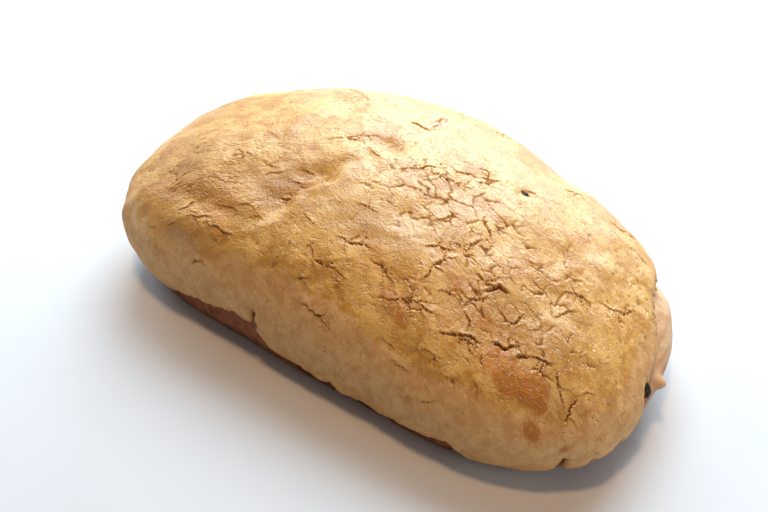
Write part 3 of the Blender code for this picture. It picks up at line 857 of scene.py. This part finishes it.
def bread_relief(along, across):
    """The bread's height over the skin, and the masks that its colours will use."""
    share, bearing = share_of(along, across), bearing_of(along, across)
    in_end = smooth_step(bearing, END_FROM, END_FROM + END_FADE)
    in_end *= 1 - smooth_step(bearing, END_TO - END_FADE, END_TO)
    bare_end = in_end.copy()
    in_end *= 1 - smooth_step(share, END_TUCK_SHARE, 1)
    outside = past_hem(along, across)
    bulge = SIDE_BULGE + (END_BULGE - SIDE_BULGE) * in_end
    bulge *= smooth_step(outside, BULGE_START, BULGE_RUN + END_RUN * bare_end)
    nub = np.exp(-((np.hypot(along - NUB[0], across - NUB[1]) / NUB_REACH) ** 3))
    shown = smooth_step(outside, -1, 2)
    streak = waves(bearing / STREAK_TURN, share / STREAK_RUN, 1, 41.7)
    streak += 0.5 * waves(bearing / STREAK_TURN, 2.6 * share / STREAK_RUN, 1, 44.1)
    pucker = waves(along, across, 5.5, 47.3) + 0.6 * waves(along, across, 2.2, 49.9)
    foot = 1 - smooth_step(share, 0.93, 1)
    lift = bulge + NUB_HEIGHT * nub - CRUST - GAP
    skin_folds = STREAK_HEIGHT * streak * bare_end + PUCKER_HEIGHT * pucker * (1 - 0.6 * bare_end)
    lift += shown * foot * skin_folds
    masks = {"bare_end": bare_end, "streak": streak, "nub": nub}
    # How near the hem a place is; the finish darkens it there as painted shade.
    masks["under_hem"] = 1 - smooth_step(outside, 0, 4)
    return lift, masks


def wanted_bread(along, across):
    wanted = BREAD_EDGE + 0.9 * np.maximum(-past_hem(along, across) - 2, 0)
    return np.clip(wanted, BREAD_EDGE, COVERED_EDGE)


def make_bread():
    sheet = oval_mesh(18)
    refine(sheet, None, wanted_bread)
    oval, faces, rim = sheet_faces(sheet)
    along, across = lay_out(oval)
    lift, masks = bread_relief(along, across)
    masks["sheet"] = np.stack([along, across, np.zeros_like(along)], axis=-1)
    following = {second: first for first, second in rim}
    base = [rim[0][0]]
    while following[base[-1]] != base[0]:
        base.append(following[base[-1]])
    return make_object("bread_loaf", drape(along, across, lift), faces + [base], masks)


bread = make_bread()

# %% [markdown]
# Two raisins
#
# A raisin is a grape that shrank inside its skin, so the skin stands in sharp ridges with soft
# valleys between. Folding the noise at zero, by taking its size without its sign, gives just such
# ridges. One raisin sits in a tear of the crust, the other in the bare end beside the nub.

# %% Shrink two raisins
RAISINS = (
    # name, place on the sheet, half sizes, height of the middle over the skin, turn
    ("raisin_in_crust", (43, 24), (3.1, 2.0, 1.25), -0.35, 35),
    ("raisin_in_end", (137, 4), (3.6, 2.9, 2.4), -2.4, 80),
)
PLUMPNESS = 1.08
RIDGE, RIDGE_GAIN = 0.22, 1.6
VALLEY_SIZE = 1.5


def make_raisin(name, place, size, lift, heading):
    bm = bmesh.new()
    bmesh.ops.create_icosphere(bm, subdivisions=5, radius=1)
    for vert in bm.verts:
        spot = vert.co * VALLEY_SIZE + Vector((size[0], 0, 0))
        fold = abs(noise.noise(spot)) + 0.5 * abs(noise.noise(spot * 2.3))
        vert.co *= PLUMPNESS - RIDGE * fold * RIDGE_GAIN
        vert.co = Vector((vert.co.x * size[0], vert.co.y * size[1], vert.co.z * size[2]))
    along, across = np.array([float(place[0])]), np.array([float(place[1])])
    facing = Vector(outward(along, across)[0]).to_track_quat("Z", "Y").to_matrix()
    facing @= Matrix.Rotation(math.radians(heading), 3, "Z")
    centre = drape(along, across, np.array([lift]))[0]
    places = np.array([facing @ vert.co for vert in bm.verts]) + centre
    return make_object(name, places, faces_of(bm))


raisins = [make_raisin(*raisin) for raisin in RAISINS]

# %% [markdown]
# Crumbs
#
# Where biscuit cracks, it crumbles. Small crumbs lie along the cracks of any such crust, and they
# catch the light as pale specks. Each is a lump of a few faces, bent by chance, set down on the
# relief next to a crack. They are joined into one mesh, so that all of them cost one piece.

# %% Strew crumbs beside the cracks
CRUMBS = 170
CRUMB_SCATTER = 1.4
CRUMB_SIZE, CRUMB_STRETCH = (0.22, 0.55), (0.6, 1.3)
CRUMB_BEND = 0.35


def make_crumbs():
    rng = random.Random(SEED + 2)
    seeds = rng.sample(range(len(CRACK_ALONG)), CRUMBS)
    along = np.array([CRACK_ALONG[i] + rng.gauss(0, CRUMB_SCATTER) for i in seeds])
    across = np.array([CRACK_ACROSS[i] + rng.gauss(0, CRUMB_SCATTER) for i in seeds])
    lift, _ = crust_relief(along, across)
    centres = drape(along, across, lift)
    bm = bmesh.new()
    for centre in centres:
        size = rng.uniform(*CRUMB_SIZE)
        made = bmesh.ops.create_icosphere(bm, subdivisions=1, radius=size)["verts"]
        stretch = Vector([rng.uniform(*CRUMB_STRETCH) for _ in range(3)])
        for vert in made:
            bent = 1 + CRUMB_BEND * noise.noise(vert.co * 3 + Vector(centre))
            vert.co = Vector(centre) + Vector([v * s * bent for v, s in zip(vert.co, stretch)])
    places = np.array([vert.co for vert in bm.verts])
    return make_object("crust_crumbs", places, faces_of(bm))


crumbs = make_crumbs()

# %% [markdown]
# Tools for finishes
#
# A material in Blender is a small network. These helpers keep each finish short enough to read:
# one adds a node and wires its inputs, the others make the kinds that a baked crust needs. Colours
# are given as a paint program shows them, from 0 to 255, and changed to the light values that the
# renderer counts in.

# %% Helpers that wire up a finish


def paint(red, green, blue):
    parts = [part / 255 for part in (red, green, blue)]
    light = [p / 12.92 if p <= 0.04045 else ((p + 0.055) / 1.055) ** 2.4 for p in parts]
    return (*light, 1)


def new_finish(name):
    finish = bpy.data.materials.new(name)
    finish.use_nodes = True
    return finish, finish.node_tree, finish.node_tree.nodes["Principled BSDF"]


def fill(tree, node, inputs):
    """Wires each input of a node to another node's output, or sets it to a plain value."""
    for name, value in inputs.items():
        if isinstance(value, bpy.types.NodeSocket):
            tree.links.new(value, node.inputs[name])
        else:
            node.inputs[name].default_value = value


def add_node(tree, kind, inputs=None, **settings):
    node = tree.nodes.new(kind)
    for name, value in settings.items():
        setattr(node, name, value)
    fill(tree, node, inputs or {})
    return node


def mask(tree, name, output="Fac"):
    return add_node(tree, "ShaderNodeAttribute", attribute_name=name).outputs[output]


def cloud(tree, spot, scale, detail=3, roughness=0.55, warp=0):
    """Noise from 0 to 1 with about this many lumps to the millimetre."""
    settings = {"Vector": spot, "Scale": scale, "Detail": detail, "Roughness": roughness}
    return add_node(tree, "ShaderNodeTexNoise", {**settings, "Distortion": warp}).outputs["Fac"]


def step(tree, value, low, high, bottom=0.0, top=1.0):
    bounds = {"Value": value, "From Min": low, "From Max": high, "To Min": bottom, "To Max": top}
    return add_node(tree, "ShaderNodeMapRange", bounds, interpolation_type="SMOOTHSTEP").outputs[0]


# %% [markdown]
# Sums, layers of colour and layers of relief
#
# The same three patterns return in every finish. Two values are added, multiplied or compared.
# Colours are laid over each other, each with a share that says where it covers. And small heights
# are stacked, so that the light falls on the surface as if it were rough.

# %% Helpers that add and stack


def sums(tree, first, second, how="ADD"):
    return add_node(tree, "ShaderNodeMath", {0: first, 1: second}, operation=how).outputs[0]


def times(tree, first, second):
    return sums(tree, first, second, "MULTIPLY")


def less(tree, first, second):
    return sums(tree, first, second, "SUBTRACT")


def on_vectors(tree, how, first, second):
    return add_node(tree, "ShaderNodeVectorMath", {0: first, 1: second}, operation=how).outputs[0]


def tint(tree, share, first, second):
    inputs = {0: share, 6: first, 7: second}
    return add_node(tree, "ShaderNodeMix", inputs, data_type="RGBA", clamp_factor=True).outputs[2]


def layered(tree, colour, *layers):
    """The colour with other colours laid over it, one after another, each by its own share."""
    for share, cover in layers:
        colour = tint(tree, share, colour, cover)
    return colour


def bumps(tree, *layers):
    """Tilts the light over heights from 0 to 1, each with the millimetres that it stands for."""
    normal = None
    for height, depth in layers:
        inputs = {"Height": height, "Strength": 1.0, "Distance": depth * MM}
        if normal:
            inputs["Normal"] = normal
        normal = add_node(tree, "ShaderNodeBump", inputs).outputs["Normal"]
    return normal


# %% [markdown]
# Cracks as fine as hairs
#
# The finest cracks are too narrow for the mesh, so the material draws them along the borders
# between the cells of a pattern. Noise shifts every place before it is looked up, which bends the
# borders. A gate of broader noise opens the cracks in some spots and keeps them shut in others.

# %% Draw the hairline cracks
PLATE_STRETCH = (0.6, 1, 1)
WIDE_PLATES, WIDE_LINE = 0.13, 0.055
FINE_PLATES, FINE_LINE = 0.3, 0.06


def hairlines(tree, sheet, scale, width, gate):
    """One along the cracks between plates, which fade in and out, and zero on the plates."""
    shift = add_node(tree, "ShaderNodeTexNoise", {"Vector": sheet, "Scale": 3 * scale, "Detail": 3.0})
    reach = (0.6 / scale, 0.45 / scale, 0)
    shift = on_vectors(tree, "MULTIPLY", shift.outputs["Color"], reach)
    bent = on_vectors(tree, "MULTIPLY", on_vectors(tree, "ADD", sheet, shift), PLATE_STRETCH)
    cells = {"Vector": bent, "Scale": scale}
    edge = add_node(tree, "ShaderNodeTexVoronoi", cells, feature="DISTANCE_TO_EDGE")
    return times(tree, step(tree, edge.outputs["Distance"], 0.2 * width, width, 1, 0), gate)


def hair_cracks(tree, sheet, wash):
    crackle = mask(tree, "crackle")
    patchy = sums(tree, cloud(tree, sheet, 0.24, 3, 0.7), times(tree, crackle, 0.14))
    specks = sums(tree, cloud(tree, sheet, 0.5, 3, 0.7), times(tree, crackle, 0.12))
    open_wide = step(tree, patchy, 0.52, 0.64)
    open_fine = times(tree, step(tree, specks, 0.53, 0.62), wash)
    wide_lines = hairlines(tree, sheet, WIDE_PLATES, WIDE_LINE, open_wide)
    fine_lines = hairlines(tree, sheet, FINE_PLATES, FINE_LINE, open_fine)
    return sums(tree, wide_lines, fine_lines, "MAXIMUM")


# %% [markdown]
# Baked biscuit
#
# The biscuit is sandy and pale where it is plain, gold where the egg wash dried, and deep orange
# where the wash pooled. Cracks and the seams between flakes are brown inside, which is painted
# shade, with a deeper gold round them. Their lips are pale, partly fresh crumb and partly a painted
# highlight. The masks that we painted on the sheet say where each belongs, and noise at several
# sizes makes every border ragged. The layers are listed from the bottom up.

# %% Colour the biscuit
SANDY = paint(224, 174, 108)
SANDY_WARM = paint(208, 150, 84)
GOLD = paint(231, 180, 92)
GOLD_DEEP = paint(204, 143, 50)
POOLED = paint(186, 114, 22)
BAKED_AND_SHADE_BROWN = paint(180, 122, 44)
CRACK_BROWN_AND_SHADE = paint(134, 76, 34)
HAIR_BROWN = paint(176, 112, 52)
FRESH_CRUMB_AND_HIGHLIGHT = paint(248, 220, 168)
TORN_BREAD = paint(224, 168, 124)


def biscuit_colour(tree, sheet, wash, hair, pits, mottle, fleck, grain):
    broad = cloud(tree, sheet, 0.045, 3)
    plain = tint(tree, step(tree, mottle, 0.35, 0.65), SANDY, SANDY_WARM)
    gold = tint(tree, step(tree, sums(tree, mottle, broad), 0.84, 1.14), GOLD, GOLD_DEEP)
    # Darker patches: partly browner baking, partly painted shade in the fold's valley and on the front
    # slope.
    baked_and_shade = times(tree, mask(tree, "baked_and_shade"), step(tree, fleck, 0.3, 0.7, 0.5, 1.1))
    pool = sums(tree, mask(tree, "pool"), less(tree, mottle, 0.45))
    lip = times(tree, mask(tree, "lip"), step(tree, grain, 0.35, 0.65))
    ragged = less(tree, grain, 0.5)
    seam_gap = sums(tree, mask(tree, "seam_gap"), times(tree, ragged, 0.6))
    gap = sums(tree, mask(tree, "gap"), ragged)
    return layered(
        tree,
        plain,
        (wash, tint(tree, baked_and_shade, gold, BAKED_AND_SHADE_BROWN)),
        (step(tree, pool, 0.25, 0.85), POOLED),
        (step(tree, fleck, 0.5, 0.72, 0, 0.3), FRESH_CRUMB_AND_HIGHLIGHT),
        (step(tree, grain, 0.55, 0.75, 0, 0.22), CRACK_BROWN_AND_SHADE),
        (times(tree, hair, 0.42), HAIR_BROWN),
        (times(tree, pits, 0.5), HAIR_BROWN),
        # Painted highlight, partly fresh crumb: the lifted lips of the cracks are paler.
        (step(tree, lip, 0.1, 0.7, 0, 0.6), FRESH_CRUMB_AND_HIGHLIGHT),
        # Painted shade: seams and cracks are darkened inside, with a deeper gold round them.
        (step(tree, seam_gap, 0, 0.9, 0.35, 0), GOLD_DEEP),
        (step(tree, seam_gap, 0, 0.22, 0.75, 0), CRACK_BROWN_AND_SHADE),
        (step(tree, gap, 0, 1.4, 0.35, 0), GOLD_DEEP),
        (step(tree, gap, -0.05, 0.22, 0.92, 0), CRACK_BROWN_AND_SHADE),
        (mask(tree, "torn"), TORN_BREAD),
    )


# %% [markdown]
# Shine and grain of the biscuit
#
# The washed part is smoother and shines a little, the plain part hardly at all. The finest relief,
# from the hairline cracks to the grain, is stacked here as small tilts of the light.

# %% Finish the biscuit crust


def biscuit_finish():
    finish, tree, surface = new_finish("washed_biscuit")
    sheet, flaky = mask(tree, "sheet", "Vector"), mask(tree, "flaky")
    mottle = cloud(tree, sheet, 0.16, 5, 0.62, 0.4)
    fleck = cloud(tree, sheet, 0.6, 4, 0.6)
    grain = cloud(tree, sheet, 2.1, 3, 0.6)
    wash = step(tree, sums(tree, mask(tree, "wash"), less(tree, mottle, 0.5)), 0.3, 0.75)
    hair = hair_cracks(tree, sheet, wash)
    pits = step(tree, cloud(tree, sheet, 0.75, 2, 0.4), 0.66, 0.74)
    colour = biscuit_colour(tree, sheet, wash, hair, pits, mottle, fleck, grain)
    shine = sums(tree, step(tree, wash, 0, 1, 0.75, 0.36), step(tree, flaky, 0.2, 1, 0, 0.06))
    shine = sums(tree, shine, step(tree, fleck, 0.4, 0.7, -0.06, 0.12))
    chipped = step(tree, cloud(tree, sheet, 0.26, 3, 0.6, 1.6), 0.4, 0.62)
    normal = bumps(
        tree,
        (less(tree, 1.0, sums(tree, hair, pits, "MAXIMUM")), 0.16),
        (mottle, 0.3),
        (times(tree, chipped, step(tree, flaky, 0, 1, 0.3, 0.75)), 0.22),
        (fleck, 0.12),
        (grain, 0.08),
    )
    fill(tree, surface, {"Base Color": colour, "Roughness": shine, "Normal": normal})
    surface.inputs["Specular IOR Level"].default_value = 0.8
    return finish


crust.data.materials.append(biscuit_finish())

# %% [markdown]
# Crumbs take the colour of fresh biscuit, without masks.

# %% Finish the crumbs
CRUMB_LIGHT, CRUMB_DARK = paint(238, 205, 150), paint(206, 152, 88)


def crumb_finish():
    finish, tree, surface = new_finish("fresh_crumb")
    spot = add_node(tree, "ShaderNodeTexCoord").outputs["Object"]
    shade = cloud(tree, spot, 900, 3)
    colour = tint(tree, step(tree, shade, 0.35, 0.65), CRUMB_LIGHT, CRUMB_DARK)
    fill(tree, surface, {"Base Color": colour, "Roughness": 0.85})
    return finish


crumbs.data.materials.append(crumb_finish())

# %% [markdown]
# Baked bread
#
# The strip under the hem is red-brown, with painted shade that darkens it most just under the
# crust's edge. The bare end rose late and browned little, so it is a pinkish tan with paler and
# darker streaks that run down it. The nub caught the heat and is more orange.

# %% Finish the bread
FOOT_BROWN = paint(176, 104, 62)
FOOT_DARK = paint(132, 72, 44)
END_TAN = paint(230, 196, 154)
END_ROSE = paint(198, 146, 104)
NUB_ORANGE = paint(224, 168, 116)


def bread_finish():
    finish, tree, surface = new_finish("baked_bread")
    sheet = mask(tree, "sheet", "Vector")
    mottle = cloud(tree, sheet, 0.22, 4, 0.6)
    grain = cloud(tree, sheet, 1.3, 3, 0.6)
    end = tint(tree, step(tree, mask(tree, "streak"), -0.5, 0.7), END_TAN, END_ROSE)
    colour = layered(
        tree,
        FOOT_BROWN,
        (step(tree, mottle, 0.3, 0.7), FOOT_DARK),
        (mask(tree, "bare_end"), end),
        (mask(tree, "nub"), NUB_ORANGE),
        # Painted shade: the bread is darkened just under the crust's edge.
        (step(tree, mask(tree, "under_hem"), 0, 1, 0, 0.45), FOOT_DARK),
        (step(tree, grain, 0.5, 0.75, 0, 0.2), FOOT_DARK),
    )
    shine = step(tree, mottle, 0.3, 0.7, 0.55, 0.75)
    normal = bumps(tree, (mottle, 0.5), (grain, 0.15))
    fill(tree, surface, {"Base Color": colour, "Roughness": shine, "Normal": normal})
    return finish


bread.data.materials.append(bread_finish())

# %% [markdown]
# Raisin skin
#
# Nearly black, with a little red brown in patches of noise and a dull shine.

# %% Finish the raisins
RAISIN_BLACK, RAISIN_BROWN = paint(36, 20, 13), paint(92, 56, 30)


def raisin_finish():
    finish, tree, surface = new_finish("raisin_skin")
    spot = add_node(tree, "ShaderNodeTexCoord").outputs["Object"]
    shade = cloud(tree, spot, 420, 4)
    colour = tint(tree, step(tree, shade, 0.4, 0.75), RAISIN_BLACK, RAISIN_BROWN)
    shine, normal = step(tree, shade, 0.3, 0.7, 0.5, 0.75), bumps(tree, (shade, 0.25))
    fill(tree, surface, {"Base Color": colour, "Roughness": shine, "Normal": normal})
    surface.inputs["Specular IOR Level"].default_value = 0.25
    return finish


raisin_skin = raisin_finish()
for raisin in raisins:
    raisin.data.materials.append(raisin_skin)

# %% [markdown]
# Table, light and camera
#
# The loaf lies on a plain white table. A large soft window stands behind it, so the crown glows
# and the near side lies in its own shade. A low, wide window behind it throws the long pale shadow
# towards us, and two weaker windows at the sides keep that shade open. A small warm lamp high above
# draws the narrow dark shadow under the overhang. The sky all round is pale and even. The camera
# looks down on the loaf from the front right.

# %% Set the table
TABLE_SIZE = 6.0
TABLE_WHITE = (0.68, 0.72, 0.79, 1)


def make_table():
    half = TABLE_SIZE / 2
    corners = [(-half, -half, 0), (half, -half, 0), (half, half, 0), (-half, half, 0)]
    mesh = bpy.data.meshes.new("table_top")
    mesh.from_pydata(corners, [], [(0, 1, 2, 3)])
    finish, tree, surface = new_finish("white_table")
    fill(tree, surface, {"Base Color": TABLE_WHITE, "Roughness": 0.75})
    mesh.materials.append(finish)
    return put_in_scene("table_top", mesh)


table = make_table()

# %% Light it
LOAF_MIDDLE = Vector((0, 0, 0.035))
LIGHTS = (
    # name, azimuth, elevation, distance, size, power, colour
    ("window", -24, 47, 1.5, (1.3, 0.8), 32, (0.76, 0.92, 1.0)),
    ("left_window", -76, 28, 1.5, (0.8, 0.6), 7, (0.8, 0.93, 1.0)),
    ("lamp", 200, 85, 1.6, (0.18, 0.18), 8.6, (1, 0.58, 0.26)),
    ("side_window", 90, 20, 1.5, (0.9, 0.6), 4.5, (0.95, 0.97, 1.0)),
    ("low_window", -12, 15, 1.6, (1.6, 0.4), 20, (0.9, 0.97, 1.0)),
)
SKY_CREAM = (1, 0.93, 0.84, 1)
SKY_STRENGTH = 0.1


def from_bearing(azimuth, elevation):
    """The direction of something that stands at this bearing from +Y towards +X, and this high."""
    a, e = math.radians(azimuth), math.radians(elevation)
    return Vector((math.sin(a) * math.cos(e), math.cos(a) * math.cos(e), math.sin(e)))


def hang_light(name, azimuth, elevation, distance, size, power, colour):
    light = bpy.data.lights.new(name, "AREA")
    light.shape = "RECTANGLE"
    light.size, light.size_y = size
    light.energy = power
    light.color = colour
    item = put_in_scene(name, light)
    away = from_bearing(azimuth, elevation)
    item.location = LOAF_MIDDLE + distance * away
    item.rotation_euler = away.to_track_quat("Z", "Y").to_euler()


for light in LIGHTS:
    hang_light(*light)

sky = bpy.data.worlds.new("pale_sky")
sky.use_nodes = True
backdrop = sky.node_tree.nodes["Background"]
fill(sky.node_tree, backdrop, {"Color": SKY_CREAM, "Strength": SKY_STRENGTH})
bpy.context.scene.world = sky
bpy.context.scene.view_settings.view_transform = "Standard"

# %% [markdown]
# The camera is a normal lens, about half a metre from the loaf.

# %% Place the camera
CAMERA_BEARING = 145.0
CAMERA_ELEVATION = 41.5
CAMERA_DISTANCE = 469.4
CAMERA_TARGET = (0.4, -12.6, 35)
LENS = 50
SENSOR = 36


def place_camera():
    lens = bpy.data.cameras.new("portrait")
    lens.lens = LENS
    lens.sensor_width = SENSOR
    lens.clip_start = 0.01
    camera = put_in_scene("portrait", lens)
    back = from_bearing(CAMERA_BEARING, CAMERA_ELEVATION)
    target = Vector(np.array(CAMERA_TARGET) + TO_CENTRE)
    camera.location = (target + back * CAMERA_DISTANCE) * MM
    camera.rotation_euler = back.to_track_quat("Z", "Y").to_euler()
    bpy.context.scene.camera = camera


place_camera()

# %% [markdown]
# Put each piece in its place
#
# Every piece rides on the plain model's one body. Its row names the solid that it stands for, which is
# hidden, and a material slot. The table is only a stage.

# %% Tie the pieces to the plain model
for piece, node, slot in (
    (crust, "biscuit_crust", "biscuit"),
    (bread, "bread", "bread"),
    (raisins[0], "raisin_top", "raisin"),
    (raisins[1], "raisin_end", "raisin"),
    (crumbs, None, "biscuit"),
):
    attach(piece, "root")
    if node:
        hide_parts(node)
